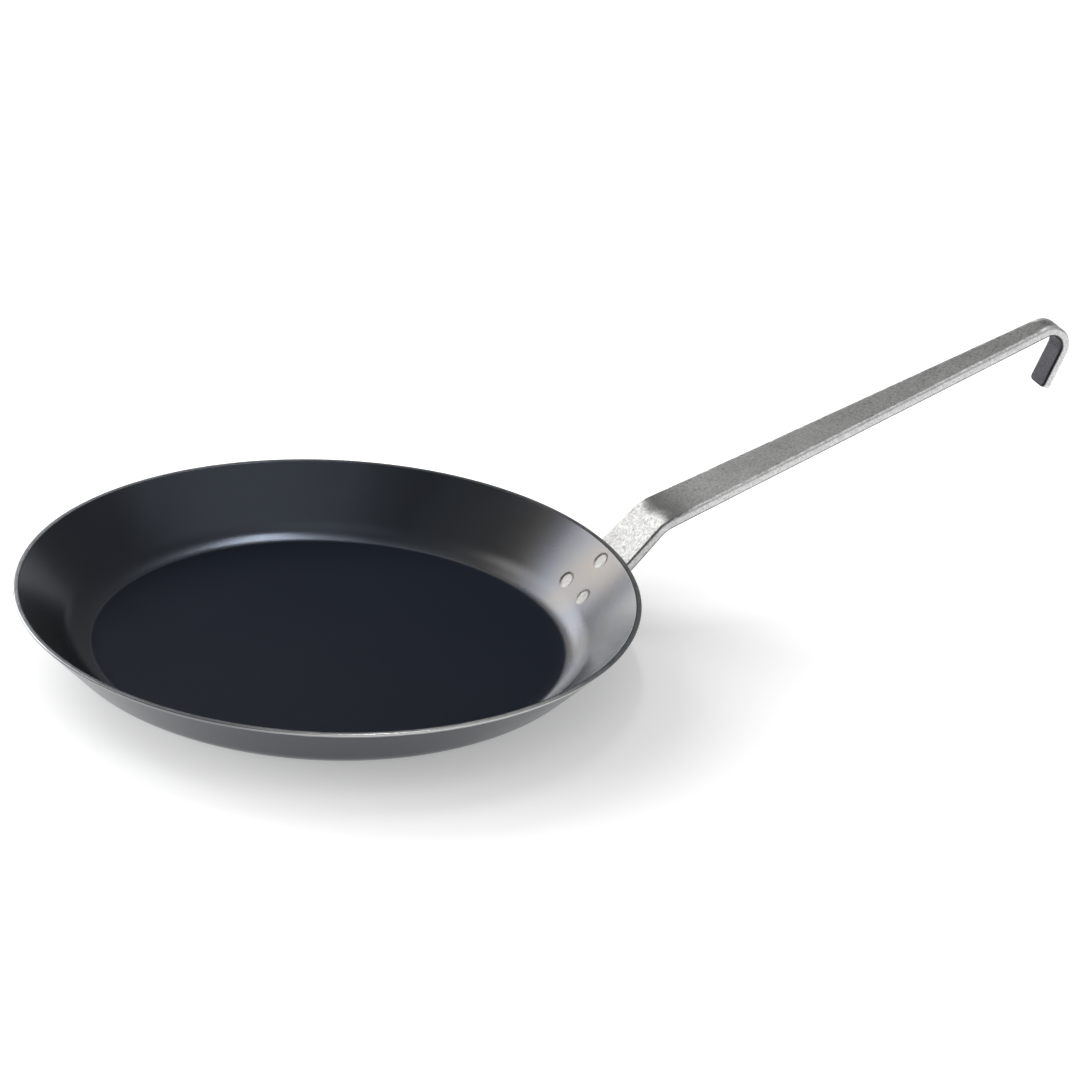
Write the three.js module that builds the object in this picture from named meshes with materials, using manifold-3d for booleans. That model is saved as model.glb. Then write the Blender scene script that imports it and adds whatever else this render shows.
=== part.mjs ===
// A shallow pressed-iron pan with a strip handle riveted to the outside of its flared wall.
// Millimetres, +Z up. The origin is the centre of the flat underside, and +X runs towards the handle.
import * as THREE from 'three';
import { mergeVertices } from 'three/addons/utils/BufferGeometryUtils.js';
import Module from 'manifold-3d';

const degrees = THREE.MathUtils.degToRad;

// Pan: one disc of sheet, pressed to a flat floor with a flared wall, and turned off level at the lip
const RIM_DIAMETER = 280; // over the lip
const RIM_HEIGHT = 29.2; // top of the lip above the hob
const SHEET = 2.3;
const WALL_ANGLE = degrees(46); // slope of the wall, from level
const CORNER_RADIUS = 23; // inside, between floor and wall
const LIP_ROUNDING = 0.5; // along both edges of the lip

// Handle: one tapered strip with a tab on the wall, a bend above the rim and an open hook
const STRIP = 4.5; // thickness
const STRIP_ROUNDING = 1.2; // along the strip's four long edges
const TAB_WIDTH = 29;
const TAB_OVERRUN = 2.5; // from the end of the straight wall to the end of the tab
const TAB_CORNER = 7; // rounding of the tab's two lower corners
const NECK_LENGTH = 24; // from the rim to the bend
const NECK_WIDTH = 26.8; // at the bend
const BEND_RADIUS = 14; // inside the bend
const HANDLE_SLOPE = degrees(19.8); // from level
const HANDLE_RUN = 204.9; // from the bend to the hook
const HOOK_WIDTH = 13;
const HOOK_RADIUS = 5.7; // inside the hook
const HOOK_TURN = degrees(134);
const HOOK_LEG = 19.2;
const HOOK_CORNER = 2.4; // rounding of the hook's two end corners

// Rivets: one near the rim and two below it, sunk flush into the wall and headed on the handle's back
const RIVET_SHANK = 5; // diameter
const RIVET_HEAD = 8.4; // diameter of both heads
const SUNK_DEPTH = 1.6; // of the head that is sunk into the wall
const SUNK_DISH = 0.4; // hollow hammered into its face
const HEAD_EDGE = 0.5; // height of the outer head at its edge
const HEAD_CROWN = 0.9; // rise of its dome above that edge
const UPPER_RIVET_DROP = 7.1; // down the wall from the rim
const LOWER_RIVET_END = 7; // up from the tab's lower end
const LOWER_RIVET_INSET = 5.1; // in from the tab's sides

const CLEARANCE = 0.3; // between pieces that seat on each other, and round a shank

// Facets
const PAN_STEPS = 120; // round the pan
const RIVET_STEPS = 24; // round a rivet and its holes
const TAB_LANES = 6; // across a face of the strip

// Places that follow from the sizes above
const wallUp = new THREE.Vector2(Math.cos(WALL_ANGLE), Math.sin(WALL_ANGLE));
const wallOut = new THREE.Vector2(Math.sin(WALL_ANGLE), -Math.cos(WALL_ANGLE));
const lipRounding = Math.min(LIP_ROUNDING, 0.45 * SHEET);
const lipNose = new THREE.Vector2(RIM_DIAMETER / 2 - lipRounding, RIM_HEIGHT - lipRounding);
const wallTop = lipNose.clone().addScaledVector(wallOut, lipRounding); // where the outer face meets the lip
const outerCorner = CORNER_RADIUS + SHEET;
const cornerRise = outerCorner * (1 - Math.cos(WALL_ANGLE));
const wallRun = (wallTop.y - cornerRise) / Math.sin(WALL_ANGLE);
const floorRadius = wallTop.x - wallRun * Math.cos(WALL_ANGLE) - outerCorner * Math.sin(WALL_ANGLE);
const tabReach = wallRun + TAB_OVERRUN;
const lowerRivetDrop = tabReach - LOWER_RIVET_END;
const lowerRivetSide = TAB_WIDTH / 2 - LOWER_RIVET_INSET;
const handleBack = CLEARANCE + STRIP; // from the wall's outer face to the handle's back face
const sunkDepth = Math.min(SUNK_DEPTH, 0.7 * SHEET);
const sunkFlare = (RIVET_HEAD - RIVET_SHANK) / 2 / sunkDepth; // of the sunk head's cone, radius per depth

// The point `drop` down the wall's outer face from the rim and `out` from that face, as (radius, height)
function onWall(drop, out = 0) {
  return wallTop.clone().addScaledVector(wallUp, -drop).addScaledVector(wallOut, out);
}

// Points on an arc, both ends included
function arc(centre, radius, from, to, steps) {
  return Array.from({ length: steps + 1 }, (_, i) => {
    const angle = from + ((to - from) * i) / steps;
    return new THREE.Vector2(Math.cos(angle), Math.sin(angle)).multiplyScalar(radius).add(centre);
  });
}

// A solid of revolution about Z from a profile of (radius, height) that starts and ends on the axis
function revolve(profile, steps) {
  return new THREE.LatheGeometry(profile, steps).rotateX(Math.PI / 2);
}

const wasm = await Module();
wasm.setup();

// A closed geometry as a solid for cutting, with its shared vertices merged and no flat slivers
function solidOf(geometry) {
  geometry.deleteAttribute('normal');
  geometry.deleteAttribute('uv');
  const merged = mergeVertices(geometry, 1e-4);
  const corners = merged.index.array;
  const triangles = [];
  for (let i = 0; i < corners.length; i += 3) {
    const [a, b, c] = corners.subarray(i, i + 3);
    if (a !== b && b !== c && c !== a) triangles.push(a, b, c);
  }
  const vertProperties = new Float32Array(merged.attributes.position.array);
  const triVerts = new Uint32Array(triangles);
  return new wasm.Manifold(new wasm.Mesh({ numProp: 3, vertProperties, triVerts }));
}

function geometryOf(solid) {
  const { vertProperties, triVerts } = solid.getMesh();
  const geometry = new THREE.BufferGeometry();
  geometry.setAttribute('position', new THREE.BufferAttribute(vertProperties, 3));
  geometry.setIndex(new THREE.BufferAttribute(triVerts, 1));
  geometry.computeVertexNormals();
  return geometry;
}

// Rivet seats: a rivet's local Z runs outwards, square to the wall, from the wall's outer face
const rivetSeats = [
  { name: 'rivet_upper', drop: UPPER_RIVET_DROP, side: 0 },
  { name: 'rivet_lower_left', drop: lowerRivetDrop, side: lowerRivetSide },
  { name: 'rivet_lower_right', drop: lowerRivetDrop, side: -lowerRivetSide },
].map(({ name, drop, side }) => {
  const wall = onWall(drop);
  const round = Math.asin(side / wall.x);
  const axis = new THREE.Vector3(wallOut.x * Math.cos(round), wallOut.x * Math.sin(round), wallOut.y);
  return {
    name,
    position: new THREE.Vector3(wall.x * Math.cos(round), side, wall.y),
    quaternion: new THREE.Quaternion().setFromUnitVectors(new THREE.Vector3(0, 0, 1), axis),
  };
});

// A drill along a rivet's axis: the shank's hole, and from inside the pan the cone for its sunk head
function drillSection() {
  const hole = RIVET_SHANK / 2 + CLEARANCE;
  const mouth = RIVET_HEAD / 2 + CLEARANCE * Math.hypot(1, sunkFlare);
  const start = -2 * SHEET;
  const end = 2 * handleBack;
  return [
    new THREE.Vector2(0, start),
    new THREE.Vector2(mouth + sunkFlare * SHEET, start),
    new THREE.Vector2(hole, (mouth - hole) / sunkFlare - SHEET),
    new THREE.Vector2(hole, end),
    new THREE.Vector2(0, end),
  ];
}

// Cuts the rivets' holes through a piece
function drilled(geometry) {
  let solid = solidOf(geometry);
  for (const { position, quaternion } of rivetSeats) {
    const drill = revolve(drillSection(), RIVET_STEPS);
    drill.applyQuaternion(quaternion).translate(position.x, position.y, position.z);
    solid = solid.subtract(solidOf(drill));
  }
  return geometryOf(solid);
}

// The pan's section: out along the underside, up the outer face, over the level lip, down the inner face
function panSection() {
  const cornerCentre = new THREE.Vector2(floorRadius, outerCorner);
  const lipFlat = (SHEET - 2 * lipRounding) / Math.sin(WALL_ANGLE);
  const lipInside = new THREE.Vector2(lipNose.x - lipFlat, lipNose.y);
  const up = Math.PI / 2;
  const cornerSteps = 7;
  const noseSteps = 5;
  const edgeSteps = 2;
  return [
    new THREE.Vector2(0, 0),
    ...arc(cornerCentre, outerCorner, -up, WALL_ANGLE - up, cornerSteps),
    ...arc(lipNose, lipRounding, WALL_ANGLE - up, up, noseSteps),
    ...arc(lipInside, lipRounding, up, WALL_ANGLE + up, edgeSteps),
    ...arc(cornerCentre, CORNER_RADIUS, WALL_ANGLE - up, -up, cornerSteps),
    new THREE.Vector2(0, SHEET),
  ];
}

// Stations along the strip's centre line in the XZ plane, from the tab's lower end to the hook's end
function stripStations() {
  const turn = WALL_ANGLE - HANDLE_SLOPE;
  const bendRadius = BEND_RADIUS + STRIP / 2;
  const hookRadius = HOOK_RADIUS + STRIP / 2;
  const setback = bendRadius * Math.tan(turn / 2); // from the bend's corner to where its arc starts
  const tabCorner = Math.min(TAB_CORNER, 0.45 * TAB_WIDTH);
  const hookCorner = Math.min(HOOK_CORNER, 0.45 * HOOK_WIDTH);
  const start = onWall(tabReach, CLEARANCE + STRIP / 2);
  const stations = [];
  const at = { x: start.x, z: start.y, heading: WALL_ANGLE, travelled: 0 };
  const mark = () => stations.push({ ...at });
  const ahead = (length) => {
    at.x += length * Math.cos(at.heading);
    at.z += length * Math.sin(at.heading);
    at.travelled += length;
  };
  const straight = (length, steps) => {
    for (let i = 0; i < steps; i++) {
      ahead(length / steps);
      mark();
    }
  };
  const bendDown = (radius, angle, steps) => {
    const chord = 2 * radius * Math.sin(angle / steps / 2);
    for (let i = 0; i < steps; i++) {
      at.heading -= angle / steps / 2;
      ahead(chord);
      at.heading -= angle / steps / 2;
      mark();
    }
  };
  // Stations that follow a quarter round, close together at its blunt end
  const roundEnd = (radius, opening, steps) => {
    const place = (i) => {
      const angle = (Math.PI / 2) * (i / steps);
      return opening ? 1 - Math.cos(angle) : Math.sin(angle);
    };
    for (let i = 1; i <= steps; i++) {
      ahead(radius * (place(i) - place(i - 1)));
      mark();
    }
  };
  mark();
  roundEnd(tabCorner, true, 6);
  straight(tabReach - tabCorner, 3);
  const rim = at.travelled;
  straight(NECK_LENGTH - setback, 4);
  bendDown(bendRadius, turn, 6);
  const neck = at.travelled;
  straight(HANDLE_RUN - setback, 8);
  const hook = at.travelled;
  bendDown(hookRadius, HOOK_TURN, 16);
  straight(HOOK_LEG - hookCorner, 1);
  roundEnd(hookCorner, false, 5);
  return { stations, rim, neck, hook, end: at.travelled, tabCorner, hookCorner };
}

// What a rounded corner takes off the strip's half width at a distance from the strip's end
function cornerCut(distance, radius) {
  const inside = Math.max(0, radius - distance);
  return radius - Math.sqrt(radius * radius - inside * inside);
}

// A section of the strip as (across, thickness) points, anticlockwise, with rounded edges
function stripSection(halfWidth) {
  const rounding = Math.min(STRIP_ROUNDING, 0.45 * STRIP);
  const flat = halfWidth - rounding;
  const edge = STRIP / 2 - rounding;
  const quarter = Math.PI / 2;
  const edgeSteps = 3;
  const lanes = (side) =>
    Array.from({ length: TAB_LANES - 1 }, (_, i) => {
      const across = flat * side * ((2 * (i + 1)) / TAB_LANES - 1);
      return new THREE.Vector2(across, -side * (STRIP / 2));
    });
  const corner = (x, y, from) => arc(new THREE.Vector2(x, y), rounding, from, from + quarter, edgeSteps);
  return [
    ...lanes(1),
    ...corner(flat, -edge, -quarter),
    ...corner(flat, edge, 0),
    ...lanes(-1),
    ...corner(-flat, edge, quarter),
    ...corner(-flat, -edge, 2 * quarter),
  ];
}

// The strip lofted along its stations. The tab is curved to the round wall, and flattens out along the neck.
function stripGeometry() {
  const { stations, rim, neck, hook, end, tabCorner, hookCorner } = stripStations();
  const points = [];
  const faces = [];
  let ringSize = 0;
  for (const { x, z, heading, travelled } of stations) {
    const necking = THREE.MathUtils.smoothstep(travelled, rim, neck);
    const tapering = THREE.MathUtils.clamp((travelled - neck) / (hook - neck), 0, 1);
    const neckWidth = THREE.MathUtils.lerp(TAB_WIDTH, NECK_WIDTH, necking);
    const width = THREE.MathUtils.lerp(neckWidth, HOOK_WIDTH, tapering);
    const cut = cornerCut(travelled, tabCorner) + cornerCut(end - travelled, hookCorner);
    const ring = stripSection(width / 2 - cut);
    for (const { x: across, y: up } of ring) {
      const radius = x - up * Math.sin(heading);
      const round = Math.sqrt(radius * radius - across * across);
      points.push(THREE.MathUtils.lerp(round, radius, necking), across, z + up * Math.cos(heading));
    }
    ringSize = ring.length;
  }
  const rings = stations.length;
  for (let i = 0; i < rings - 1; i++) {
    for (let j = 0; j < ringSize; j++) {
      const a = i * ringSize + j;
      const b = i * ringSize + ((j + 1) % ringSize);
      faces.push(a, b, b + ringSize, a, b + ringSize, a + ringSize);
    }
  }
  // A blunt end is a fan from the middle of its ring
  const cap = (ring, outwards) => {
    const first = ring * ringSize;
    const middle = new THREE.Vector3();
    for (let j = 0; j < ringSize; j++) {
      middle.add(new THREE.Vector3().fromArray(points, 3 * (first + j)).divideScalar(ringSize));
    }
    const hub = points.length / 3;
    points.push(middle.x, middle.y, middle.z);
    for (let j = 0; j < ringSize; j++) {
      const a = first + j;
      const b = first + ((j + 1) % ringSize);
      faces.push(hub, ...(outwards ? [a, b] : [b, a]));
    }
  };
  cap(0, false);
  cap(rings - 1, true);
  const geometry = new THREE.BufferGeometry();
  geometry.setAttribute('position', new THREE.Float32BufferAttribute(points, 3));
  geometry.setIndex(faces);
  return geometry;
}

// Radius of the round face that rises by `rise` over a rivet's head
function faceRadius(rise) {
  return ((RIVET_HEAD * RIVET_HEAD) / 4 + rise * rise) / (2 * rise);
}

// A rivet's section along its own axis: the dished sunk head, the shank, and the domed outer head
function rivetSection() {
  const shank = RIVET_SHANK / 2;
  const head = RIVET_HEAD / 2;
  const up = Math.PI / 2;
  const faceSteps = 5;
  const dish = faceRadius(SUNK_DISH);
  const dome = faceRadius(HEAD_CROWN);
  const outer = handleBack + CLEARANCE; // where the outer head seats
  const dishCentre = new THREE.Vector2(0, SUNK_DISH - SHEET - dish);
  const domeCentre = new THREE.Vector2(0, outer + HEAD_EDGE + HEAD_CROWN - dome);
  const section = [
    ...arc(dishCentre, dish, up, up - Math.asin(head / dish), faceSteps),
    new THREE.Vector2(shank, sunkDepth - SHEET),
    new THREE.Vector2(shank, outer),
    new THREE.Vector2(head, outer),
    ...arc(domeCentre, dome, up - Math.asin(head / dome), up, faceSteps),
  ];
  section[0].x = 0;
  section[section.length - 1].x = 0;
  return section;
}

function piece(name, geometry, color, roughness, metalness) {
  const mesh = new THREE.Mesh(geometry, new THREE.MeshStandardMaterial({ color, roughness, metalness }));
  mesh.name = name;
  return mesh;
}

const ironPan = new THREE.Group();
ironPan.add(piece('pan_body', drilled(revolve(panSection(), PAN_STEPS)), 0x2b2f36, 0.38, 0.85));
ironPan.add(piece('handle', drilled(stripGeometry()), 0x999998, 0.5, 0.9));
for (const { name, position, quaternion } of rivetSeats) {
  const rivet = piece(name, revolve(rivetSection(), RIVET_STEPS), 0x5d5c5b, 0.35, 0.9);
  rivet.position.copy(position);
  rivet.quaternion.copy(quaternion);
  ironPan.add(rivet);
}

export default ironPan;
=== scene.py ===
# %% [markdown]
# A riveted iron pan, finished in Blender
#
# The real pan is three kinds of thing. A disc of sheet iron is pressed into a shallow dish, one long strip
# of flat iron is bent into a handle with a hook, and three rivets hold the two together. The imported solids
# give every size and place. This lesson rebuilds each piece with a finer skin, gives it the small
# unevenness of real metalwork, and dresses it in procedural finishes.

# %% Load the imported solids
import math

import bmesh
import bpy
from mathutils import Matrix, Quaternion, Vector, noise


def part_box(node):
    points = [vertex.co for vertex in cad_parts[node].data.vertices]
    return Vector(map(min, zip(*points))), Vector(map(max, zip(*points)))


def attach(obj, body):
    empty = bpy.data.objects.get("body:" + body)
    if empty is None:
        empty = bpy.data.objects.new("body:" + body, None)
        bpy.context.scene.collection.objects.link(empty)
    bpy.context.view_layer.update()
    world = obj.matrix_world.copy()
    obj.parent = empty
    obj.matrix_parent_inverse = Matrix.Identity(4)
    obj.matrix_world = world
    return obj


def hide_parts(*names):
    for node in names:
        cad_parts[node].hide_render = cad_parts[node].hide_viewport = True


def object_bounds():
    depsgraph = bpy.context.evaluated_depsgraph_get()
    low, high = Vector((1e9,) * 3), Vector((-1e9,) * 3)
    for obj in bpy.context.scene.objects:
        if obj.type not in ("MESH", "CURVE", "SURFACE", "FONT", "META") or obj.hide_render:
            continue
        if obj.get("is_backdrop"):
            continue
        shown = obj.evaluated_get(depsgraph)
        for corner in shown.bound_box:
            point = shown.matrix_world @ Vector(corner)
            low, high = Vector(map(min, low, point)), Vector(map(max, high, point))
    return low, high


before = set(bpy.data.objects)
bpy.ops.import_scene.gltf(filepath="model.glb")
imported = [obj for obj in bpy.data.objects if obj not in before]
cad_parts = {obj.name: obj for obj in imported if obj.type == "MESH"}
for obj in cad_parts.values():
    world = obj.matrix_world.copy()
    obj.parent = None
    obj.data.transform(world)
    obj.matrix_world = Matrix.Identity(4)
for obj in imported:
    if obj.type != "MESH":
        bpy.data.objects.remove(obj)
cad_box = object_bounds()
print("solids to dress:", sorted(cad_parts))

# %% [markdown]
# ## Sizes
# A maker would read these from the workshop drawing. What the solids' boxes already say is taken from them,
# and the rest is written once, in metres. All sections are drawn as (radius, height) points. The wall leans
# out at one angle, so two unit directions, up the wall and out of the wall, place all that sits on it.

# %% Sizes shared with the solids
MM = 0.001
pan_low, pan_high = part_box("pan_body")
RIM_RADIUS = pan_high.x
RIM_HEIGHT = pan_high.z
SHEET = 2.3 * MM
WALL_ANGLE = math.radians(46)
CORNER_RADIUS = 23 * MM
LIP_ROUNDING = 0.5 * MM
CLEARANCE = 0.3 * MM

wall_up = Vector((math.cos(WALL_ANGLE), math.sin(WALL_ANGLE)))
wall_out = Vector((math.sin(WALL_ANGLE), -math.cos(WALL_ANGLE)))
lip_nose = Vector((RIM_RADIUS - LIP_ROUNDING, RIM_HEIGHT - LIP_ROUNDING))
wall_top = lip_nose + LIP_ROUNDING * wall_out
outer_corner = CORNER_RADIUS + SHEET
wall_run = (wall_top.y - outer_corner * (1 - math.cos(WALL_ANGLE))) / math.sin(WALL_ANGLE)
floor_radius = (wall_top - wall_run * wall_up - outer_corner * wall_out).x


def on_wall(drop, out=0.0):
    """The (radius, height) point `drop` down the outer face from the rim and `out` from that face."""
    return wall_top - drop * wall_up + out * wall_out


print(f"rim {2000 * RIM_RADIUS:.1f} mm across, flat floor {2000 * floor_radius:.1f} mm across")

# %% [markdown]
# ## Camera
# The picture looks down on the pan from its front left, from far away, so its lines stay nearly parallel.
# A camera could be aimed with a Track To constraint, but it was also held a little askew. So its axes are
# built from three angles and written straight into its matrix.

# %% Place the camera
VIEW_AZIMUTH = math.radians(-24.87)
VIEW_ELEVATION = math.radians(25.27)
VIEW_ROLL = math.radians(3.38)
VIEW_DISTANCE = 2.5
VIEW_TARGET = Vector((0.1196, 0.0374, 0.02))
FIELD_OF_VIEW = math.radians(11.35)

to_camera = Vector((
    math.sin(VIEW_AZIMUTH) * math.cos(VIEW_ELEVATION),
    -math.cos(VIEW_AZIMUTH) * math.cos(VIEW_ELEVATION),
    math.sin(VIEW_ELEVATION),
))
level_right = Vector((0, 0, 1)).cross(to_camera).normalized()
upright = to_camera.cross(level_right)
view_right = math.cos(VIEW_ROLL) * level_right + math.sin(VIEW_ROLL) * upright
view_up = math.cos(VIEW_ROLL) * upright - math.sin(VIEW_ROLL) * level_right

lens = bpy.data.cameras.new("Camera")
lens.angle = FIELD_OF_VIEW
camera = bpy.data.objects.new("Camera", lens)
camera.matrix_world = Matrix.Translation(VIEW_TARGET + VIEW_DISTANCE * to_camera) @ Matrix(
    (view_right, view_up, to_camera)
).transposed().to_4x4()
bpy.context.scene.collection.objects.link(camera)
bpy.context.scene.camera = camera
print("camera at", [round(x, 3) for x in camera.matrix_world.translation])

# %% [markdown]
# ## Studio
# Dark smooth iron shows its surroundings more than its own colour. The studio is therefore planned as a set
# of reflections: a white floor for the outside of the pan, a low softbox and a lit backdrop behind it for
# the wall below the handle, a narrow lamp overhead for the glint along the far corner, and for the rest a
# quiet grey room with a few soft pale places. The floor could be made white by flooding it with lamps, but
# that would also flood the pan. A faint glow that only the camera and mirror-like rays see does it without
# adding light. It is weaker in a round near the pan, a little to its right, so that the soft shadow stays
# and a painted shadow deepens it there.

# %% Node helper
def put(tree, kind, inputs=None, **settings):
    """Adds a node, sets its properties, and fills its inputs with values or links from other nodes."""
    made = tree.nodes.new(kind)
    for name, value in settings.items():
        setattr(made, name, value)
    for name, value in (inputs or {}).items():
        if isinstance(value, bpy.types.NodeSocket):
            tree.links.new(value, made.inputs[name])
        else:
            made.inputs[name].default_value = value
    return made


def work_out(tree, operation, *values, clamp=False):
    """One Math node; returns its result."""
    inputs = dict(enumerate(values))
    return put(tree, "ShaderNodeMath", inputs, operation=operation, use_clamp=clamp).outputs[0]


def ramp(tree, value, low, high, to_low=0.0, to_high=1.0):
    """A smooth step of a value from one range to another."""
    inputs = {"Value": value, "From Min": low, "From Max": high, "To Min": to_low, "To Max": to_high}
    return put(tree, "ShaderNodeMapRange", inputs, interpolation_type="SMOOTHSTEP").outputs["Result"]


def how_far(tree, place, middle):
    """The distance of a place from a fixed point."""
    return put(tree, "ShaderNodeVectorMath", {0: place, 1: middle}, operation="DISTANCE").outputs["Value"]


def mix_colour(tree, share, under, over):
    """`over` laid on `under` by share."""
    inputs = {0: share, 6: under, 7: over}
    return put(tree, "ShaderNodeMix", inputs, data_type="RGBA").outputs[2]


# %% White floor that keeps the shadow
FLOOR_HALF = 20.0
PAPER_WHITE = (0.85, 0.85, 0.85, 1)
FLOOR_GLOW = 0.62
SHADOW_GLOW = 0.6  # share of the glow that is left near the pan
SHADOW_MIDDLE = (0.06, -0.03, 0.0)
SHADOW_REACH = (0.10, 0.20)

floor_mesh = bpy.data.meshes.new("studio_floor")
corners = [(-1, -1), (1, -1), (1, 1), (-1, 1)]
floor_mesh.from_pydata([(FLOOR_HALF * x, FLOOR_HALF * y, 0) for x, y in corners], [], [(0, 1, 2, 3)])
floor = bpy.data.objects.new("studio_floor", floor_mesh)
bpy.context.scene.collection.objects.link(floor)
floor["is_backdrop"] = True

paper = bpy.data.materials.new("white paper")
paper.use_nodes = True
tree = paper.node_tree
tree.nodes.clear()
place = put(tree, "ShaderNodeTexCoord").outputs["Object"]
# The glow fades in a round a little right of the pan: a painted shadow laid over the real one.
painted_shadow_fade = ramp(tree, how_far(tree, place, SHADOW_MIDDLE), *SHADOW_REACH, SHADOW_GLOW, 1.0)
rays = put(tree, "ShaderNodeLightPath").outputs
seen = work_out(tree, "MAXIMUM", rays["Is Camera Ray"], rays["Is Glossy Ray"])
seen = work_out(tree, "MAXIMUM", seen, rays["Is Transmission Ray"])
seen = work_out(tree, "MULTIPLY", seen, painted_shadow_fade)
strength = work_out(tree, "MULTIPLY", seen, FLOOR_GLOW)
shine = put(tree, "ShaderNodeEmission", {"Strength": strength}).outputs[0]
matt = put(tree, "ShaderNodeBsdfDiffuse", {"Color": PAPER_WHITE}).outputs[0]
both = put(tree, "ShaderNodeAddShader", {0: matt, 1: shine}).outputs[0]
put(tree, "ShaderNodeOutputMaterial", {"Surface": both})
floor_mesh.materials.append(paper)
print("floor", 2 * FLOOR_HALF, "m wide")

# %% Grey room with five soft pale places
ROOM_AT_HORIZON = 0.28
ROOM_OVERHEAD = 0.34
OVERHEAD_FROM = 0.9  # height on the unit sphere
# Each place has its direction, the cosine of its half angle and the brightness that its middle adds.
PALE_PLACES = {
    "overhead in front": ((0.22, -0.48, 0.85), 0.72, 0.5),
    "straight overhead": ((0.0, 0.0, 1.0), 0.95, 0.3),
    "high behind": ((-0.395, 0.586, 0.707), 0.972, 2.5),
    "low on the right": ((0.83, 0.56, 0.0), 0.95, 0.5),
    "beside the softbox": ((0.15, 0.90, 0.41), 0.972, 0.6),
}

room = bpy.data.worlds.new("grey room")
room.use_nodes = True
tree = room.node_tree
tree.nodes.clear()
sky = put(tree, "ShaderNodeTexCoord").outputs["Generated"]
height = put(tree, "ShaderNodeSeparateXYZ", {0: sky}).outputs["Z"]
level = ramp(tree, height, 0.0, OVERHEAD_FROM, ROOM_AT_HORIZON, ROOM_OVERHEAD)
for towards, from_edge, brightness in PALE_PLACES.values():
    facing = put(tree, "ShaderNodeVectorMath", {0: sky, 1: towards}, operation="DOT_PRODUCT")
    pale = ramp(tree, facing.outputs["Value"], from_edge, 1.0, 0.0, brightness)
    level = work_out(tree, "ADD", level, pale)
air = put(tree, "ShaderNodeBackground", {"Strength": level}).outputs[0]
put(tree, "ShaderNodeOutputWorld", {"Surface": air})
bpy.context.scene.world = room
print("pale places:", ", ".join(PALE_PLACES))

# %% Softboxes
def softbox(name, aim, azimuth, elevation, distance, size, brightness, roll=0.0):
    """A rectangular lamp of an even brightness that faces the point it is aimed at.

    Azimuth is counted from straight behind the pan towards the handle; all angles are in degrees.
    """
    lamp = bpy.data.lights.new(name, "AREA")
    lamp.shape = "RECTANGLE"
    lamp.size, lamp.size_y = size
    lamp.energy = brightness * math.pi * size[0] * size[1]
    turn, rise = math.radians(azimuth), math.radians(elevation)
    away = Vector((math.sin(turn) * math.cos(rise), math.cos(turn) * math.cos(rise), math.sin(rise)))
    holder = bpy.data.objects.new(name, lamp)
    holder.location = aim + distance * away
    facing = away.to_track_quat("Z", "Y") @ Quaternion((0, 0, 1), math.radians(roll))
    holder.rotation_euler = facing.to_euler()
    holder.visible_camera = False
    bpy.context.scene.collection.objects.link(holder)
    print(f"{name}: {lamp.energy:.1f} W")


under_handle = Vector((0.12, 0, 0.01))
back_corner = Vector((0, 0.11, 0.005))
softbox("low softbox", under_handle, -22, 27.2, 1.1, (0.80, 0.45), 6.5, roll=-18)
softbox("lit backdrop", under_handle, 1.5, 7.5, 1.4, (0.68, 0.34), 3.0)
softbox("top lamp", back_corner, 39, 61.5, 1.0, (0.05, 0.34), 20.0, roll=28)

bpy.context.scene.view_settings.view_transform = "Standard"

# %% [markdown]
# ## Skin over rings
# The pan and the rivets are turned about an axis, and the handle is a section carried along a bent line.
# All of them are rows of points, so one helper serves: it joins neighbouring rings with quads and closes
# the ends. A modifier such as Screw would do for the turned pieces alone. Numbers can go with the points:
# `edge` is 1 where the metal has an exposed edge, and the finishes rub those places bright; `under` is 1 on
# the underside of the strip, which the handle's finish paints darker as shade.

# %% Helper that skins rings
def skinned(name, rings, **marks):
    """A closed piece through rings of points; a ring of one point is a pole, other end rings get a cap.

    Each mark is a list of rings of numbers, and is kept on the points under its name.
    """
    form = bmesh.new()
    for mark in marks:
        form.verts.layers.float.new(mark)
    rows = [[form.verts.new(point) for point in ring] for ring in rings]
    for mark, values in marks.items():
        layer = form.verts.layers.float[mark]
        for row, numbers in zip(rows, values):
            for vert, number in zip(row, numbers):
                vert[layer] = number
    for low, high in zip(rows, rows[1:]):
        count = max(len(low), len(high))
        for i in range(count):
            j = (i + 1) % count
            if len(low) == 1:
                form.faces.new((low[0], high[j], high[i]))
            elif len(high) == 1:
                form.faces.new((low[i], low[j], high[0]))
            else:
                form.faces.new((low[i], low[j], high[j], high[i]))
    for row in (rows[0], rows[-1]):
        if len(row) > 1:
            form.faces.new(row)
    bmesh.ops.recalc_face_normals(form, faces=form.faces)
    mesh = bpy.data.meshes.new(name)
    form.to_mesh(mesh)
    form.free()
    piece = bpy.data.objects.new(name, mesh)
    bpy.context.scene.collection.objects.link(piece)
    return piece


def arc(centre, radius, start, end, steps):
    """Points on an arc, both ends included."""
    turns = [start + (end - start) * i / steps for i in range(steps + 1)]
    return [centre + radius * Vector((math.cos(turn), math.sin(turn))) for turn in turns]


def between(a, b, steps):
    """The points that cut a straight line into steps, without its ends."""
    return [a.lerp(b, i / steps) for i in range(1, steps)]


def turned(name, section, edges, steps, uneven=None):
    """A piece turned about Z from a section of (radius, height) points that starts and ends on the axis."""
    rings = []
    for point in section:
        count = 1 if point.x < 1e-9 else steps
        turns = [2 * math.pi * i / steps for i in range(count)]
        ring = [Vector((point.x * math.cos(turn), point.x * math.sin(turn), point.y)) for turn in turns]
        rings.append([uneven(p) for p in ring] if uneven else ring)
    return skinned(name, rings, edge=[[weight] * len(ring) for weight, ring in zip(edges, rings)])


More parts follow.
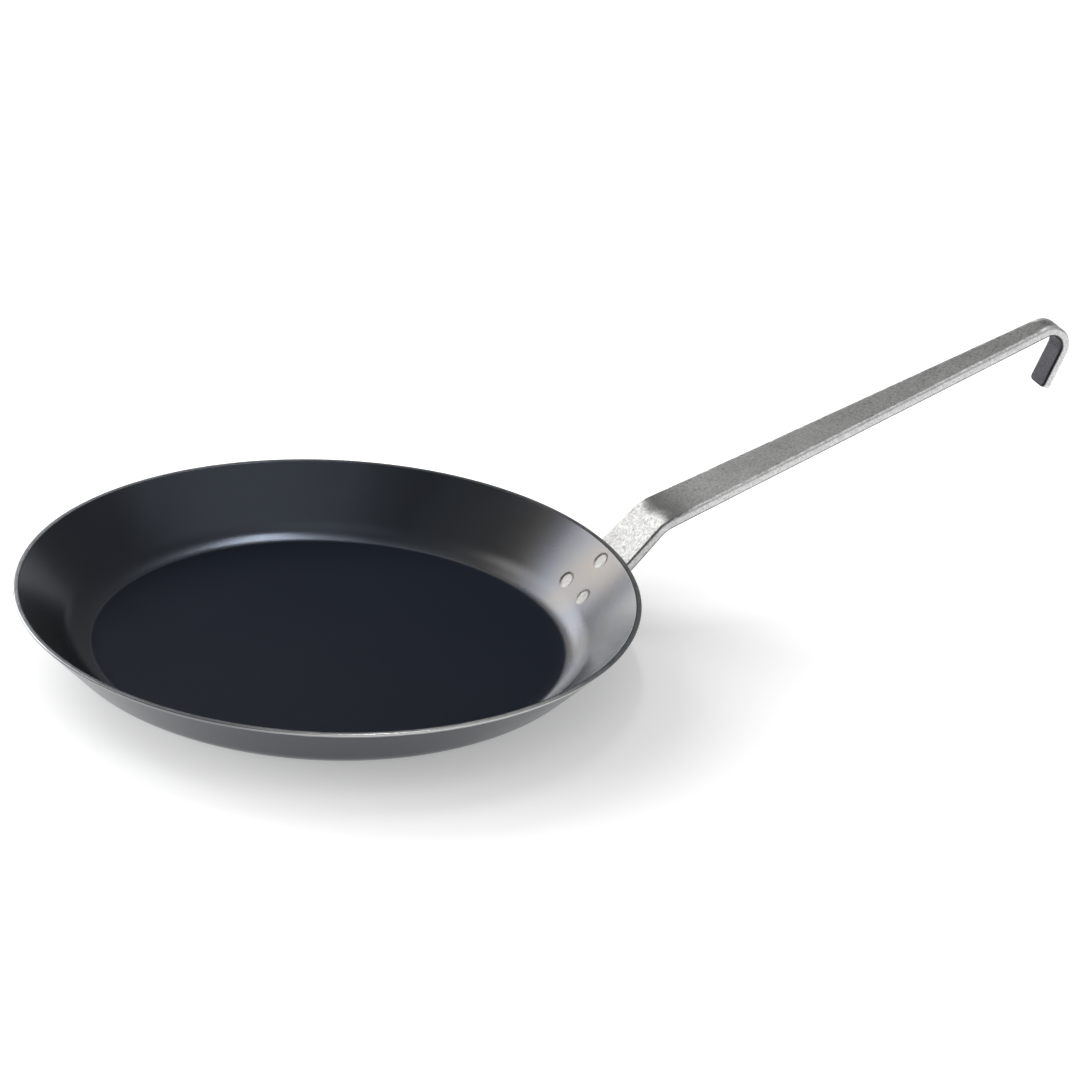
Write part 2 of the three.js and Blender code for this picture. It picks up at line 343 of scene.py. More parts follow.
# %% [markdown]
# ## Pan body
# The dish is one pressed disc: a flat floor, a soft corner, a straight flared wall, and a lip that was
# turned off level and only just broken at its edges. A Boolean of two cones would give the shape but poor
# shading. Turning one drawn section keeps rows of quads where light rolls over the corner and the lip.
# Sheet iron that was heated and pressed is never quite true, so the wall wanders by a tenth of a millimetre.

# %% Pan section
up = math.pi / 2
corner_centre = Vector((floor_radius, outer_corner))
INNER_ROUNDING = 0.5 * MM
inside_rise = RIM_HEIGHT - INNER_ROUNDING
inside_run = (INNER_ROUNDING - SHEET + (inside_rise - wall_top.y) * wall_up.x) / wall_up.y
lip_inside = Vector((wall_top.x + inside_run, inside_rise))

outer_bend = arc(corner_centre, outer_corner, -up, WALL_ANGLE - up, 14)
nose = arc(lip_nose, LIP_ROUNDING, WALL_ANGLE - up, up, 12)
inner_edge = arc(lip_inside, INNER_ROUNDING, up, WALL_ANGLE + up, 6)
inner_bend = arc(corner_centre, CORNER_RADIUS, WALL_ANGLE - up, -up, 18)
under_middle = Vector((0, 0))
floor_middle = Vector((0, SHEET))

lip_top = between(nose[-1], inner_edge[0], 4)
pan_section = [
    under_middle,
    *between(under_middle, outer_bend[0], 10),
    *outer_bend,
    *between(outer_bend[-1], nose[0], 12),
    *nose,
    *lip_top,
    *inner_edge,
    *between(inner_edge[-1], inner_bend[0], 14),
    *inner_bend,
    *between(inner_bend[-1], floor_middle, 14),
    floor_middle,
]
pan_edges = [1.0 if point in nose else 0.6 if point in lip_top else 0.0 for point in pan_section]
print(len(pan_section), "points round the pan's section")

# %% Pan body, slightly uneven
PAN_STEPS = 288
WALL_WANDER = 0.1 * MM
WANDER_LENGTH = 60 * MM


def wandering(point):
    """Pushes the wall in or out a little, more towards the rim, and leaves the floor flat."""
    radius = math.hypot(point.x, point.y)
    share = max(0.0, (radius - floor_radius) / (RIM_RADIUS - floor_radius))
    push = share * WALL_WANDER * (noise.noise(point / WANDER_LENGTH) - 0.5)
    return point + Vector((point.x, point.y, 0)) * (push / max(radius, MM))


pan = turned("iron_pan", pan_section, pan_edges, PAN_STEPS, wandering)
print("pan:", len(pan.data.polygons), "faces")

# %% [markdown]
# ## Handle
# The handle is one strip. Its tab is bent to the round wall, the neck flattens out as it leaves the rim, a
# bend brings it to a low slope, it tapers evenly, and its end is rolled over into an open hook. A curve
# with a bevel profile cannot change from a curved to a flat section. So the strip is walked like a road,
# straight on, bend, straight on, and at every station a rounded section is set square to the heading.

# %% Handle sizes
STRIP = 4.5 * MM
STRIP_ROUNDING = 1.2 * MM
END_ROUNDING = 0.9 * MM
TAB_WIDTH = 29 * MM
TAB_OVERRUN = 2.5 * MM
TAB_CORNER = 7 * MM
NECK_LENGTH = 24 * MM
NECK_WIDTH = 26.8 * MM
BEND_RADIUS = 14 * MM
HANDLE_SLOPE = math.radians(19.8)
HANDLE_RUN = 204.9 * MM
HOOK_WIDTH = 13 * MM
HOOK_RADIUS = 5.7 * MM
HOOK_TURN = math.radians(134)
HOOK_LEG = 19.2 * MM
HOOK_CORNER = 2.4 * MM
tab_reach = wall_run + TAB_OVERRUN
print(f"tab reaches {1000 * tab_reach:.1f} mm down the wall")


# %% Walk along the strip
class StripWalk:
    """Stations along the strip's centre line, each (x, z, heading, distance travelled)."""

    def __init__(self, start, heading):
        self.x, self.z = start
        self.heading = heading
        self.travelled = 0.0
        self.stations = [(self.x, self.z, self.heading, self.travelled)]

    def ahead(self, length, keep=True):
        self.x += length * math.cos(self.heading)
        self.z += length * math.sin(self.heading)
        self.travelled += length
        if keep:
            self.stations.append((self.x, self.z, self.heading, self.travelled))

    def straight(self, length, steps):
        for _ in range(steps):
            self.ahead(length / steps)

    def bend_down(self, radius, angle, steps):
        half = angle / steps / 2
        for _ in range(steps):
            self.heading -= half
            self.ahead(2 * radius * math.sin(half), keep=False)
            self.heading -= half
            self.ahead(0.0)

    def round_end(self, radius, opening, steps):
        """Stations along a quarter round, close together at its blunt end."""
        turns = [up * i / steps for i in range(steps + 1)]
        places = [1 - math.cos(turn) if opening else math.sin(turn) for turn in turns]
        for a, b in zip(places, places[1:]):
            self.ahead(radius * (b - a))


turn_at_neck = WALL_ANGLE - HANDLE_SLOPE
setback = (BEND_RADIUS + STRIP / 2) * math.tan(turn_at_neck / 2)
walk = StripWalk(on_wall(tab_reach, CLEARANCE + STRIP / 2), WALL_ANGLE)
walk.round_end(TAB_CORNER, True, 14)
walk.straight(tab_reach - TAB_CORNER, 12)
rim_at = walk.travelled
walk.straight(NECK_LENGTH - setback, 10)
walk.bend_down(BEND_RADIUS + STRIP / 2, turn_at_neck, 14)
neck_at = walk.travelled
walk.straight(HANDLE_RUN - setback, 90)
hook_at = walk.travelled
walk.bend_down(HOOK_RADIUS + STRIP / 2, HOOK_TURN, 36)
walk.straight(HOOK_LEG - HOOK_CORNER, 8)
walk.round_end(HOOK_CORNER, False, 14)
strip_end = walk.travelled
print(f"strip {1000 * strip_end:.1f} mm long, {len(walk.stations)} stations")

# %% Strip section with rounded edges
LANES = 12
EDGE_STEPS = 6
RUB_SHARE = 0.45
RUB_REACH = 3 * MM


def smooth_share(value, low, high):
    """0 to 1 with soft ends."""
    share = min(1.0, max(0.0, (value - low) / (high - low)))
    return share * share * (3 - 2 * share)


def mixed(a, b, share):
    return a + (b - a) * share


def corner_cut(distance, radius):
    """What a rounded corner takes off at a distance from the strip's end."""
    inside = max(0.0, radius - distance)
    return radius - math.sqrt(radius * radius - inside * inside)


def strip_section(half_width, half_thickness, rounding):
    """Anticlockwise (across, up) points, how far each is round an edge, and how far to the underside."""
    flat, side = half_width - rounding, half_thickness - rounding
    points, edge, under = [], [], []
    rising = [i / EDGE_STEPS for i in range(EDGE_STEPS + 1)]
    for facing in (1, -1):
        lanes = [flat * facing * (2 * i / LANES - 1) for i in range(1, LANES)]
        points += [Vector((across, -facing * half_thickness)) for across in lanes]
        start = -facing * up
        for half, side_up in enumerate((-facing * side, facing * side)):
            begin = start + half * up
            points += arc(Vector((facing * flat, side_up)), rounding, begin, begin + up, EDGE_STEPS)
        rubbed = [RUB_SHARE * smooth_share(abs(across), flat - RUB_REACH, flat) for across in lanes]
        rounded = [mixed(RUB_SHARE, 1.0, share) for share in rising]
        edge += rubbed + rounded + rounded[::-1]
        climbed = [0.0] * len(lanes) + [(half + share) / 2 for half in (0, 1) for share in rising]
        under += [1 - share if facing == 1 else share for share in climbed]
    return points, edge, under


# %% Handle piece
EDGE_WANDER = 0.12 * MM
EDGE_WANDER_LENGTH = 9 * MM

rings, ring_edges, ring_unders = [], [], []
for x, z, heading, travelled in walk.stations:
    necking = smooth_share(travelled, rim_at, neck_at)
    tapering = min(1.0, max(0.0, (travelled - neck_at) / (hook_at - neck_at)))
    width = mixed(mixed(TAB_WIDTH, NECK_WIDTH, necking), HOOK_WIDTH, tapering)
    to_end = min(travelled, strip_end - travelled)
    blunt = corner_cut(to_end, END_ROUNDING)
    cut = corner_cut(travelled, TAB_CORNER) + corner_cut(strip_end - travelled, HOOK_CORNER) + blunt
    rounding = max(STRIP_ROUNDING - blunt, 0.2 * MM)
    section, edge, under = strip_section(width / 2 - cut, STRIP / 2 - blunt, rounding)
    ring = []
    for across, rise in section:
        side = math.copysign(1, across)
        wander = noise.noise((travelled / EDGE_WANDER_LENGTH, 7 * side, rise / STRIP))
        across -= side * EDGE_WANDER * abs(wander)
        radius = x - rise * math.sin(heading)
        wrapped = math.sqrt(radius * radius - across * across)
        ring.append(Vector((mixed(wrapped, radius, necking), across, z + rise * math.cos(heading))))
    end_share = smooth_share(END_ROUNDING - to_end, 0, END_ROUNDING)
    rings.append(ring)
    ring_edges.append([max(share, end_share) for share in edge])
    ring_unders.append(under)

handle = skinned("strip_handle", rings, edge=ring_edges, under=ring_unders)
print("handle:", len(handle.data.polygons), "faces")

# %% [markdown]
# ## Rivets
# Each rivet is a short pin. Inside the pan its head is a cone, sunk flush into the wall and dished by the
# hammer; on the handle's back it is spread into a low dome. They could share one mesh, but no two hammered
# heads are alike. So each is turned on its own and dented a little before it is set square to the wall.

# %% Rivet seats
RIVET_SHANK = 5 * MM
RIVET_HEAD = 8.4 * MM
UPPER_RIVET_DROP = 7.1 * MM
LOWER_RIVET_END = 7 * MM
LOWER_RIVET_INSET = 5.1 * MM
lower_drop = tab_reach - LOWER_RIVET_END
lower_side = TAB_WIDTH / 2 - LOWER_RIVET_INSET
rivet_places = {
    "rivet_upper": (UPPER_RIVET_DROP, 0.0),
    "rivet_lower_left": (lower_drop, lower_side),
    "rivet_lower_right": (lower_drop, -lower_side),
}


def rivet_seat(drop, side):
    """The matrix that sets a rivet square to the wall's outer face, its own Z pointing outwards."""
    radius, rise = on_wall(drop)
    round_wall = math.asin(side / radius)
    outwards = Vector((wall_out.x * math.cos(round_wall), wall_out.x * math.sin(round_wall), wall_out.y))
    place = Vector((radius * math.cos(round_wall), side, rise))
    return Matrix.Translation(place) @ Vector((0, 0, 1)).rotation_difference(outwards).to_matrix().to_4x4()


print(f"lower rivets {2000 * lower_side:.1f} mm apart")

# %% Rivet section
SUNK_DEPTH = 1.6 * MM
SUNK_DISH = 0.3 * MM
HEAD_EDGE = 0.5 * MM
HEAD_CROWN = 0.9 * MM
HEAD_ROUNDING = 0.3 * MM
FACE_STEPS = 14
head, shank = RIVET_HEAD / 2, RIVET_SHANK / 2
outer_seat = CLEARANCE + STRIP


def dish(radius):
    """How deep the sunk face lies below the wall: a shallow bowl with a steeper step at its edge."""
    bowl = 1 - (radius / head) ** 2
    step = 1 - smooth_share(radius, 0.7 * head, head)
    return SUNK_DISH * mixed(bowl, step, 0.6)


def dome(radius):
    """How high the outer head stands on the handle's back, rolled over at its edge."""
    roll = max(0.0, radius - (head - HEAD_ROUNDING))
    fall = HEAD_ROUNDING - math.sqrt(HEAD_ROUNDING ** 2 - roll ** 2)
    return HEAD_EDGE + HEAD_CROWN * (1 - (radius / head) ** 2) - fall


face = [head * math.sin(up * i / FACE_STEPS) for i in range(FACE_STEPS + 1)]
rivet_section = [
    *[Vector((radius, dish(radius) - SHEET)) for radius in face],
    Vector((shank, SUNK_DEPTH - SHEET)),
    Vector((shank, outer_seat)),
    Vector((head, outer_seat)),
    *[Vector((radius, outer_seat + dome(radius))) for radius in face[::-1]],
]
rivet_edges = [smooth_share(point.x, 0.8 * head, head) for point in rivet_section]
print(len(rivet_section), "points along a rivet's section")

# %% Rivet pieces
RIVET_STEPS = 64
HAMMERING = 0.06 * MM
HAMMER_MARK = 2.5 * MM


def hammered(seed):
    """A function that dents the two faces of a rivet, differently for each seed."""
    def dented(point):
        reach = math.hypot(point.x, point.y)
        if abs(reach - shank) < 0.01 * shank or reach > 0.97 * head:
            return point
        dent = noise.noise(point / HAMMER_MARK + Vector((seed, 2 * seed, 0)))
        return point - Vector((0, 0, HAMMERING * abs(dent) * math.copysign(1, point.z)))
    return dented


rivets = {}
for number, (name, place) in enumerate(rivet_places.items()):
    rivet = turned("iron_" + name, rivet_section, rivet_edges, RIVET_STEPS, hammered(11.3 * number))
    rivet.data.transform(rivet_seat(*place))
    rivets[name] = rivet
print("rivets:", ", ".join(sorted(rivets)))

# %% [markdown]
# ## Rivet holes
# The pins pass through the wall and the tab, and the wall is countersunk from inside for their heads. The
# holes could be left out, since the rivets fill them, but a piece taken apart should show them. One Boolean
# cut per rivet is applied here, before any finish goes on.

# %% Drill the pan and the handle
HOLE_PLAY = 0.06 * MM
flare = (head - shank) / SUNK_DEPTH
drill_section = [
    Vector((0, -2 * SHEET)),
    Vector((head + HOLE_PLAY + flare * SHEET, -2 * SHEET)),
    Vector((shank + HOLE_PLAY, SUNK_DEPTH - SHEET)),
    Vector((shank + HOLE_PLAY, 2 * outer_seat)),
    Vector((0, 2 * outer_seat)),
]


def drilled(piece):
    """Cuts the three rivet holes through a piece."""
    drills = []
    for place in rivet_places.values():
        drill = turned("drill", drill_section, [0] * len(drill_section), RIVET_STEPS)
        drill.data.transform(rivet_seat(*place))
        hole = piece.modifiers.new("rivet hole", "BOOLEAN")
        hole.object = drill
        hole.solver = "EXACT"
        drills.append(drill)
    ready = piece.evaluated_get(bpy.context.evaluated_depsgraph_get())
    cut = bpy.data.meshes.new_from_object(ready)
    piece.modifiers.clear()
    piece.data = cut
    for drill in drills:
        bpy.data.objects.remove(drill)


for piece in (pan, handle):
    drilled(piece)
    print(piece.name, "drilled:", len(piece.data.polygons), "faces")

# %% [markdown]
# ## Smooth shading
# Rolled and turned metal shows no facets. The meshes could be subdivided until no facet is seen. Smooth
# normals do it without more faces: they break only where the metal has a real corner, as at the holes, and
# they are weighted by the size of the faces, so that broad flat places stay flat.

# %% Smooth shading that keeps the crisp corners
CRISP_ANGLE = math.radians(38)

for piece in (pan, handle, *rivets.values()):
    piece.data.shade_smooth()
    piece.data.set_sharp_from_angle(angle=CRISP_ANGLE)
    even = piece.modifiers.new("even normals", "WEIGHTED_NORMAL")
    even.keep_sharp = True
    crisp = sum(side.use_edge_sharp for side in piece.data.edges)
    print(piece.name, "keeps", crisp, "crisp edges")

# %% [markdown]
# ## Effects that the finishes share
# Rolled and pressed iron has the same few marks everywhere: soft patches and a fine grain, edges rubbed
# bright, small dark pits, and fine rub lines. Each is a node group with its own scale inputs, so that the
# pan, the handle and the rivets can use the same effect at their own size. Painting them on would need
# image maps.

# %% Node group helper
def new_group(name, inputs, outputs):
    """An empty shader group; inputs are {label: default}, and a default of None makes a vector input."""
    tree = bpy.data.node_groups.new(name, "ShaderNodeTree")
    for label, default in inputs.items():
        kind = "NodeSocketVector" if default is None else "NodeSocketFloat"
        socket = tree.interface.new_socket(label, in_out="INPUT", socket_type=kind)
        if default is not None:
            socket.default_value = default
    for label in outputs:
        tree.interface.new_socket(label, in_out="OUTPUT", socket_type="NodeSocketFloat")
    return tree, tree.nodes.new("NodeGroupInput").outputs, tree.nodes.new("NodeGroupOutput").inputs


def scaled(tree, vector, size):
    """Coordinates divided by a size in metres, so that one pattern cell is about that large."""
    factor = work_out(tree, "DIVIDE", 1.0, size)
    return put(tree, "ShaderNodeVectorMath", {0: vector, "Scale": factor}, operation="SCALE").outputs[0]


def cloud(tree, vector, size, detail, roughness=0.5):
    """Noise with features of about a size in metres."""
    inputs = {"Vector": scaled(tree, vector, size), "Scale": 1.0, "Detail": detail, "Roughness": roughness}
    return put(tree, "ShaderNodeTexNoise", inputs).outputs[0]


# %% Patches and grain
sizes = {"Patch size": 0.03, "Grain size": 0.001}
grain_group, given, result = new_group("patches and grain", sizes, ["Patches", "Grain"])
place = put(grain_group, "ShaderNodeTexCoord").outputs["Object"]
for label, size, detail in (("Patches", "Patch size", 3.0), ("Grain", "Grain size", 4.0)):
    grain_group.links.new(cloud(grain_group, place, given[size], detail, 0.55), result[label])
print(grain_group.name, "in", len(grain_group.nodes), "nodes")

# %% Edges rubbed bright
rub_group, given, result = new_group("rubbed edge", {"Edge": 0.0, "Breakup size": 0.004}, ["Bare"])
place = put(rub_group, "ShaderNodeTexCoord").outputs["Object"]
breakup = cloud(rub_group, place, given["Breakup size"], 3.0, 0.6)
uneven = work_out(rub_group, "MULTIPLY_ADD", breakup, 0.5, -0.25)
rubbed = work_out(rub_group, "ADD", given["Edge"], uneven)
rub_group.links.new(ramp(rub_group, rubbed, 0.3, 0.75), result["Bare"])
print(rub_group.name, "in", len(rub_group.nodes), "nodes")

# %% Small dark pits
pit_group, given, result = new_group("pits", {"Pit size": 0.001, "Share": 0.2}, ["Pit"])
place = put(pit_group, "ShaderNodeTexCoord").outputs["Object"]
spread = scaled(pit_group, place, given["Pit size"])
cells = put(pit_group, "ShaderNodeTexVoronoi", {"Vector": spread, "Scale": 1.0})
chosen = put(pit_group, "ShaderNodeSeparateColor", {0: cells.outputs["Color"]}).outputs[0]
chosen = work_out(pit_group, "LESS_THAN", chosen, given["Share"])
spot = ramp(pit_group, cells.outputs["Distance"], 0.45, 0.1)
pit_group.links.new(work_out(pit_group, "MULTIPLY", spot, chosen), result["Pit"])
print(pit_group.name, "in", len(pit_group.nodes), "nodes")

# %% Fine rub lines
drawn = {"Across and along": None, "Line size": 0.0004}
line_group, given, result = new_group("rub lines", drawn, ["Lines"])
line_group.links.new(cloud(line_group, given[0], given["Line size"], 3.0, 0.6), result["Lines"])
print(line_group.name, "in", len(line_group.nodes), "nodes")

# %% [markdown]
# ## Blued iron for the pan
# The pan was heated until its sheet turned blue-black. The floor is darkest and dull, in a round that lies
# a little nearer to the handle. The wall carries faint heat colours, straw near the rivets, then violet,
# then a paler blue, then blue-black with smoky patches. The lip is rubbed towards bare metal all round, and
# at the front it is painted fully bare and bright, as a highlight.
# The colours could be painted on, but they follow from where a point lies: its distance from the axis and
# the rivets, and its direction from the middle.

# %% Finish helper
def new_finish(name):
    """A material with its tree and its shader."""
    made = bpy.data.materials.new(name)
    made.use_nodes = True
    return made, made.node_tree, made.node_tree.nodes["Principled BSDF"]


def effect(tree, group, inputs):
    """Places a shared effect in a finish and returns its outputs."""
    return put(tree, "ShaderNodeGroup", inputs, node_tree=group).outputs


def relief(tree, shader, height, depth):
    """Bumps a finish by a height from 0 to 1, `depth` metres deep."""
    bump = put(tree, "ShaderNodeBump", {"Height": height, "Distance": depth, "Strength": 1.0})
    tree.links.new(bump.outputs[0], shader.inputs["Normal"])


def stops(tree, value, colours):
    """A colour ramp through (position, colour) stops."""
    node = put(tree, "ShaderNodeValToRGB", {0: value})
    band = node.color_ramp.elements
    for position, colour in colours[1:-1]:
        band.new(position)
    for element, (position, colour) in zip(band, colours):
        element.position = position
        element.color = (*colour, 1)
    return node.outputs[0]


# %% Places and marks on the pan
blued, tree, shader = new_finish("blued iron")
place = put(tree, "ShaderNodeTexCoord").outputs["Object"]
axes = put(tree, "ShaderNodeSeparateXYZ", {0: place}).outputs
level_place = put(tree, "ShaderNodeCombineXYZ", {0: axes["X"], 1: axes["Y"]}).outputs[0]
radius = put(tree, "ShaderNodeVectorMath", {0: level_place}, operation="LENGTH").outputs["Value"]
angle = work_out(tree, "ARCTAN2", axes["Y"], axes["X"])
marks = effect(tree, grain_group, {"Patch size": 0.035, "Grain size": 0.0012})
drawn_out = work_out(tree, "MULTIPLY", angle, 0.006)
round_marks = put(tree, "ShaderNodeCombineXYZ", {0: radius, 1: drawn_out, 2: axes["Z"]}).outputs[0]
lines = effect(tree, line_group, {0: round_marks, "Line size": 0.0006})["Lines"]
print(blued.name, "begun with", len(tree.nodes), "nodes")

# %% Heat colours and smoky patches
HEAT_COLOURS = [
    (0.0, (0.092, 0.084, 0.075)),
    (0.16, (0.084, 0.081, 0.081)),
    (0.30, (0.073, 0.077, 0.089)),
    (0.45, (0.087, 0.085, 0.085)),
    (0.62, (0.082, 0.087, 0.095)),
    (0.80, (0.068, 0.078, 0.092)),
    (1.0, (0.055, 0.063, 0.078)),
]
HEAT_REACH = 0.11
SMOKY = (0.080, 0.088, 0.102, 1)
SMOKE_SHARE = 0.3

rivet_middle = rivet_seat(0.5 * (UPPER_RIVET_DROP + lower_drop), 0.0).translation
heat = work_out(tree, "DIVIDE", how_far(tree, place, rivet_middle), HEAT_REACH)
wavering = work_out(tree, "MULTIPLY_ADD", marks["Patches"], 0.5, -0.25)
heat = work_out(tree, "ADD", heat, wavering, clamp=True)
colour = stops(tree, heat, HEAT_COLOURS)
smoke = effect(tree, grain_group, {"Patch size": 0.05})["Patches"]
smoke = ramp(tree, smoke, 0.5, 0.75, 0.0, SMOKE_SHARE)
colour = mix_colour(tree, smoke, colour, SMOKY)
print(len(HEAT_COLOURS), "heat colours, out to", round(1000 * HEAT_REACH), "mm from the rivets")

# %% Dull floor, rubbed lip and a painted highlight on the front lip
FLOOR_BLACK = (0.0112, 0.0151, 0.0246, 1)
COOKED_RADIUS = 106.3 * MM
COOKED_EDGE = 1.2 * MM
COOKED_MIDDLE = (1.1 * MM, -0.4 * MM, 0.0)
BARE_STEEL_AND_HIGHLIGHT = (0.72, 0.72, 0.72, 1)
LIP_HIGHLIGHT_ANGLE = math.radians(-88)
LIP_HIGHLIGHT_SPREAD = math.radians(45)
LIP_WEAR_ELSEWHERE = 0.32

from_middle = how_far(tree, level_place, COOKED_MIDDLE)
cooked = ramp(tree, from_middle, COOKED_RADIUS + COOKED_EDGE, COOKED_RADIUS - COOKED_EDGE)
colour = mix_colour(tree, cooked, colour, FLOOR_BLACK)
edge = put(tree, "ShaderNodeAttribute", attribute_name="edge").outputs["Fac"]
bare = effect(tree, rub_group, {"Edge": edge, "Breakup size": 0.006})["Bare"]
# The bare lip is at full strength only in a window round the front, a painted highlight; elsewhere a smaller
# share of it is real wear.
from_lip_highlight = work_out(tree, "ABSOLUTE", work_out(tree, "SUBTRACT", angle, LIP_HIGHLIGHT_ANGLE))
bright_share = ramp(tree, from_lip_highlight, LIP_HIGHLIGHT_SPREAD, 0.3 * LIP_HIGHLIGHT_SPREAD, LIP_WEAR_ELSEWHERE, 1.0)
bare = work_out(tree, "MULTIPLY", bare, bright_share)
tree.links.new(mix_colour(tree, bare, colour, BARE_STEEL_AND_HIGHLIGHT), shader.inputs["Base Color"])
print("dull floor", round(2000 * COOKED_RADIUS), "mm across")

# %% Sheen and relief of the pan
PAN_RELIEF = 0.012 * MM

dull = work_out(tree, "MULTIPLY_ADD", marks["Patches"], 0.12, 0.24)
dull = work_out(tree, "MULTIPLY_ADD", heat, -0.09, dull)
dull = work_out(tree, "MULTIPLY_ADD", cooked, 0.4, dull)
tree.links.new(dull, shader.inputs["Roughness"])
tree.links.new(work_out(tree, "SUBTRACT", 1.0, cooked), shader.inputs["Metallic"])
shader.inputs["Specular IOR Level"].default_value = 0.03
uneven = work_out(tree, "MULTIPLY_ADD", lines, 0.5, work_out(tree, "MULTIPLY", marks["Grain"], 0.5))
relief(tree, shader, uneven, PAN_RELIEF)
pan.data.materials.append(blued)
print(blued.name, "done in", len(tree.nodes), "nodes")

# %% [markdown]
# ## Blasted strip for the handle
# The strip was blasted clean, so its broad top is a matt, speckled grey with small dark pits. Past the neck
# its edges are rubbed bright by hands, and so is the bend of the hook. Just past the first bend it is darker
# in a band, and its underside is painted darker as shade, with its edges rubbed less there. A plain grey
# with one roughness would look like plastic. So the grain goes into the colour, the roughness and the relief
# alike.

# %% Marks and rubbed edges of the strip
DARK_BAND_FROM, DARK_BAND_TO = 149 * MM, 178 * MM
HOOK_FROM, HOOK_TO = 346 * MM, 356 * MM

blasted, tree, shader = new_finish("blasted strip iron")
marks = effect(tree, grain_group, {"Patch size": 0.014, "Grain size": 0.0011})
pits = effect(tree, pit_group, {"Pit size": 0.0021, "Share": 0.22})["Pit"]
edge = put(tree, "ShaderNodeAttribute", attribute_name="edge").outputs["Fac"]
under = put(tree, "ShaderNodeAttribute", attribute_name="under").outputs["Fac"]
place = put(tree, "ShaderNodeTexCoord").outputs["Object"]
along = put(tree, "ShaderNodeSeparateXYZ", {0: place}).outputs["X"]
edge = work_out(tree, "ADD", edge, ramp(tree, along, DARK_BAND_FROM, DARK_BAND_TO, -0.35, 0.0))
edge = work_out(tree, "ADD", edge, ramp(tree, along, HOOK_FROM, HOOK_TO, 0.0, 0.5))
bare = effect(tree, rub_group, {"Edge": edge, "Breakup size": 0.0025})["Bare"]
# Towards the underside the edges are rubbed less and stay darker.
bare = work_out(tree, "MULTIPLY", bare, ramp(tree, under, 0.62, 0.45))
print(blasted.name, "begun with", len(tree.nodes), "nodes")

# %% Colours of the strip
STRIP_DARK = (0.115, 0.115, 0.112, 1)
STRIP_LIGHT = (0.34, 0.34, 0.333, 1)
STRIP_PIT = (0.10, 0.10, 0.10, 1)
STRIP_BAND_DARK = (0.05, 0.05, 0.049, 1)
STRIP_EDGE = (0.92, 0.92, 0.92, 1)
UNDERSIDE_SHADE_DARK = (0.034, 0.033, 0.038, 1)
UNDERSIDE_SHADE_LIGHT = (0.062, 0.061, 0.068, 1)

speckle = ramp(tree, marks["Grain"], 0.3, 0.7)
shade = work_out(tree, "MULTIPLY_ADD", speckle, 0.5, work_out(tree, "MULTIPLY", marks["Patches"], 0.5))
along = work_out(tree, "MULTIPLY_ADD", marks["Patches"], -14 * MM, along)
# A darker band just past the first bend, with wavering ends.
band_start = ramp(tree, along, DARK_BAND_FROM, DARK_BAND_FROM + 5 * MM)
dark_band = work_out(tree, "MULTIPLY", band_start, ramp(tree, along, DARK_BAND_TO, DARK_BAND_FROM))
colour = mix_colour(tree, shade, STRIP_DARK, STRIP_LIGHT)
colour = mix_colour(tree, work_out(tree, "MULTIPLY", pits, 0.7), colour, STRIP_PIT)
colour = mix_colour(tree, work_out(tree, "MULTIPLY", dark_band, 0.9), colour, STRIP_BAND_DARK)
# Painted shade: the underside is darker, with its grain kept.
underside_shade = mix_colour(tree, shade, UNDERSIDE_SHADE_DARK, UNDERSIDE_SHADE_LIGHT)
colour = mix_colour(tree, ramp(tree, under, 0.52, 0.72), colour, underside_shade)
bright_share = work_out(tree, "MULTIPLY", bare, work_out(tree, "MULTIPLY_ADD", speckle, 0.3, 0.7))
colour = mix_colour(tree, bright_share, colour, STRIP_EDGE)
tree.links.new(colour, shader.inputs["Base Color"])
print(f"strip banded dark for {1000 * (DARK_BAND_TO - DARK_BAND_FROM):.0f} mm at the bend")

# %% Sheen and relief of the strip
STRIP_RELIEF = 0.06 * MM

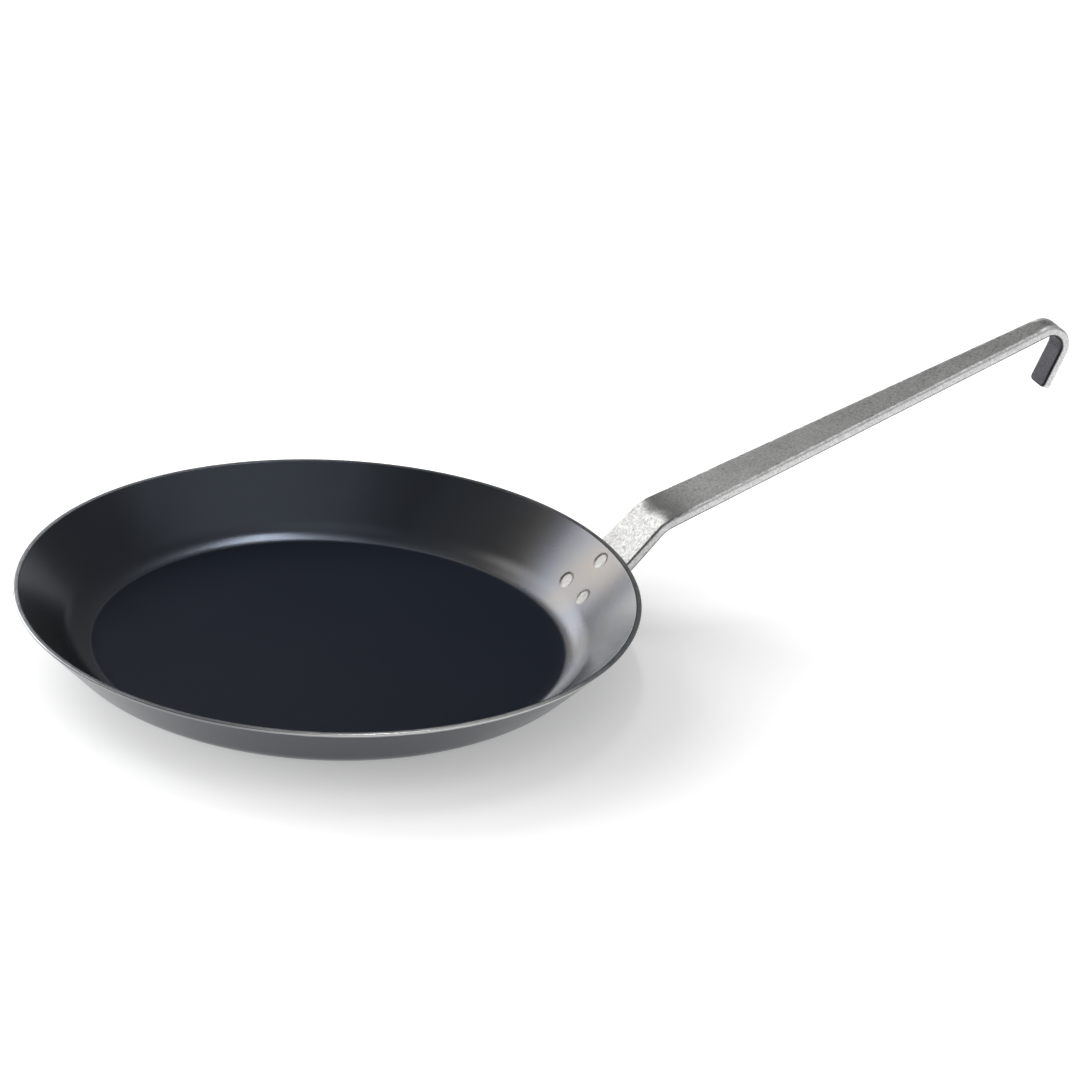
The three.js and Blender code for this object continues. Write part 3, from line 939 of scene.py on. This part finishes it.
dull = work_out(tree, "MULTIPLY_ADD", marks["Grain"], -0.2, 0.52)
dull = work_out(tree, "MULTIPLY_ADD", bare, 0.05, dull)
tree.links.new(dull, shader.inputs["Roughness"])
shader.inputs["Metallic"].default_value = 1.0
dented = work_out(tree, "MULTIPLY_ADD", pits, -0.5, marks["Grain"])
relief(tree, shader, dented, STRIP_RELIEF)
handle.data.materials.append(blasted)
print(blasted.name, "done in", len(tree.nodes), "nodes")

# %% [markdown]
# ## Satin iron for the rivets
# The heads were hammered flush and heated with the pan, so they are nearly as dark as the wall round them,
# but softer in sheen and without its heat colours. They could wear the pan's own finish. A finish of their
# own, with patches no larger than a head and a few specks, lets them stand out as separate pieces.

# %% Satin rivet iron
RIVET_DARK = (0.10, 0.098, 0.094, 1)
RIVET_LIGHT = (0.16, 0.157, 0.15, 1)
RIVET_RELIEF = 0.02 * MM

satin, tree, shader = new_finish("satin rivet iron")
marks = effect(tree, grain_group, {"Patch size": 0.003, "Grain size": 0.0005})
pits = effect(tree, pit_group, {"Pit size": 0.0011, "Share": 0.15})["Pit"]
colour = mix_colour(tree, marks["Patches"], RIVET_DARK, RIVET_LIGHT)
colour = mix_colour(tree, work_out(tree, "MULTIPLY", pits, 0.4), colour, STRIP_PIT)
tree.links.new(colour, shader.inputs["Base Color"])
tree.links.new(work_out(tree, "MULTIPLY_ADD", marks["Grain"], 0.2, 0.22), shader.inputs["Roughness"])
shader.inputs["Metallic"].default_value = 1.0
relief(tree, shader, marks["Grain"], RIVET_RELIEF)
for rivet in rivets.values():
    rivet.data.materials.append(satin)
print("finishes:", ", ".join(m.name for m in (blued, blasted, satin)))

# %% [markdown]
# ## Hand over
# Nothing on this pan moves, so every piece rides on the one body. Each piece stands for its solid, which is
# hidden. The two boxes show how far the finer pieces grew past the solids' size.

# %% Ride, replace and measure
stand_ins = {"pan_body": (pan, "pan_iron"), "handle": (handle, "handle_iron")}
stand_ins.update({name: (rivet, "rivet_iron") for name, rivet in rivets.items()})
for node, (piece, finish) in stand_ins.items():
    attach(piece, "root")
    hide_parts(node)

visual_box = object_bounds()
grown = [1000 * (b - a) for c, v in zip(cad_box, visual_box) for a, b in zip(c, v)]
print("grown by, mm:", [round(change, 2) for change in grown])
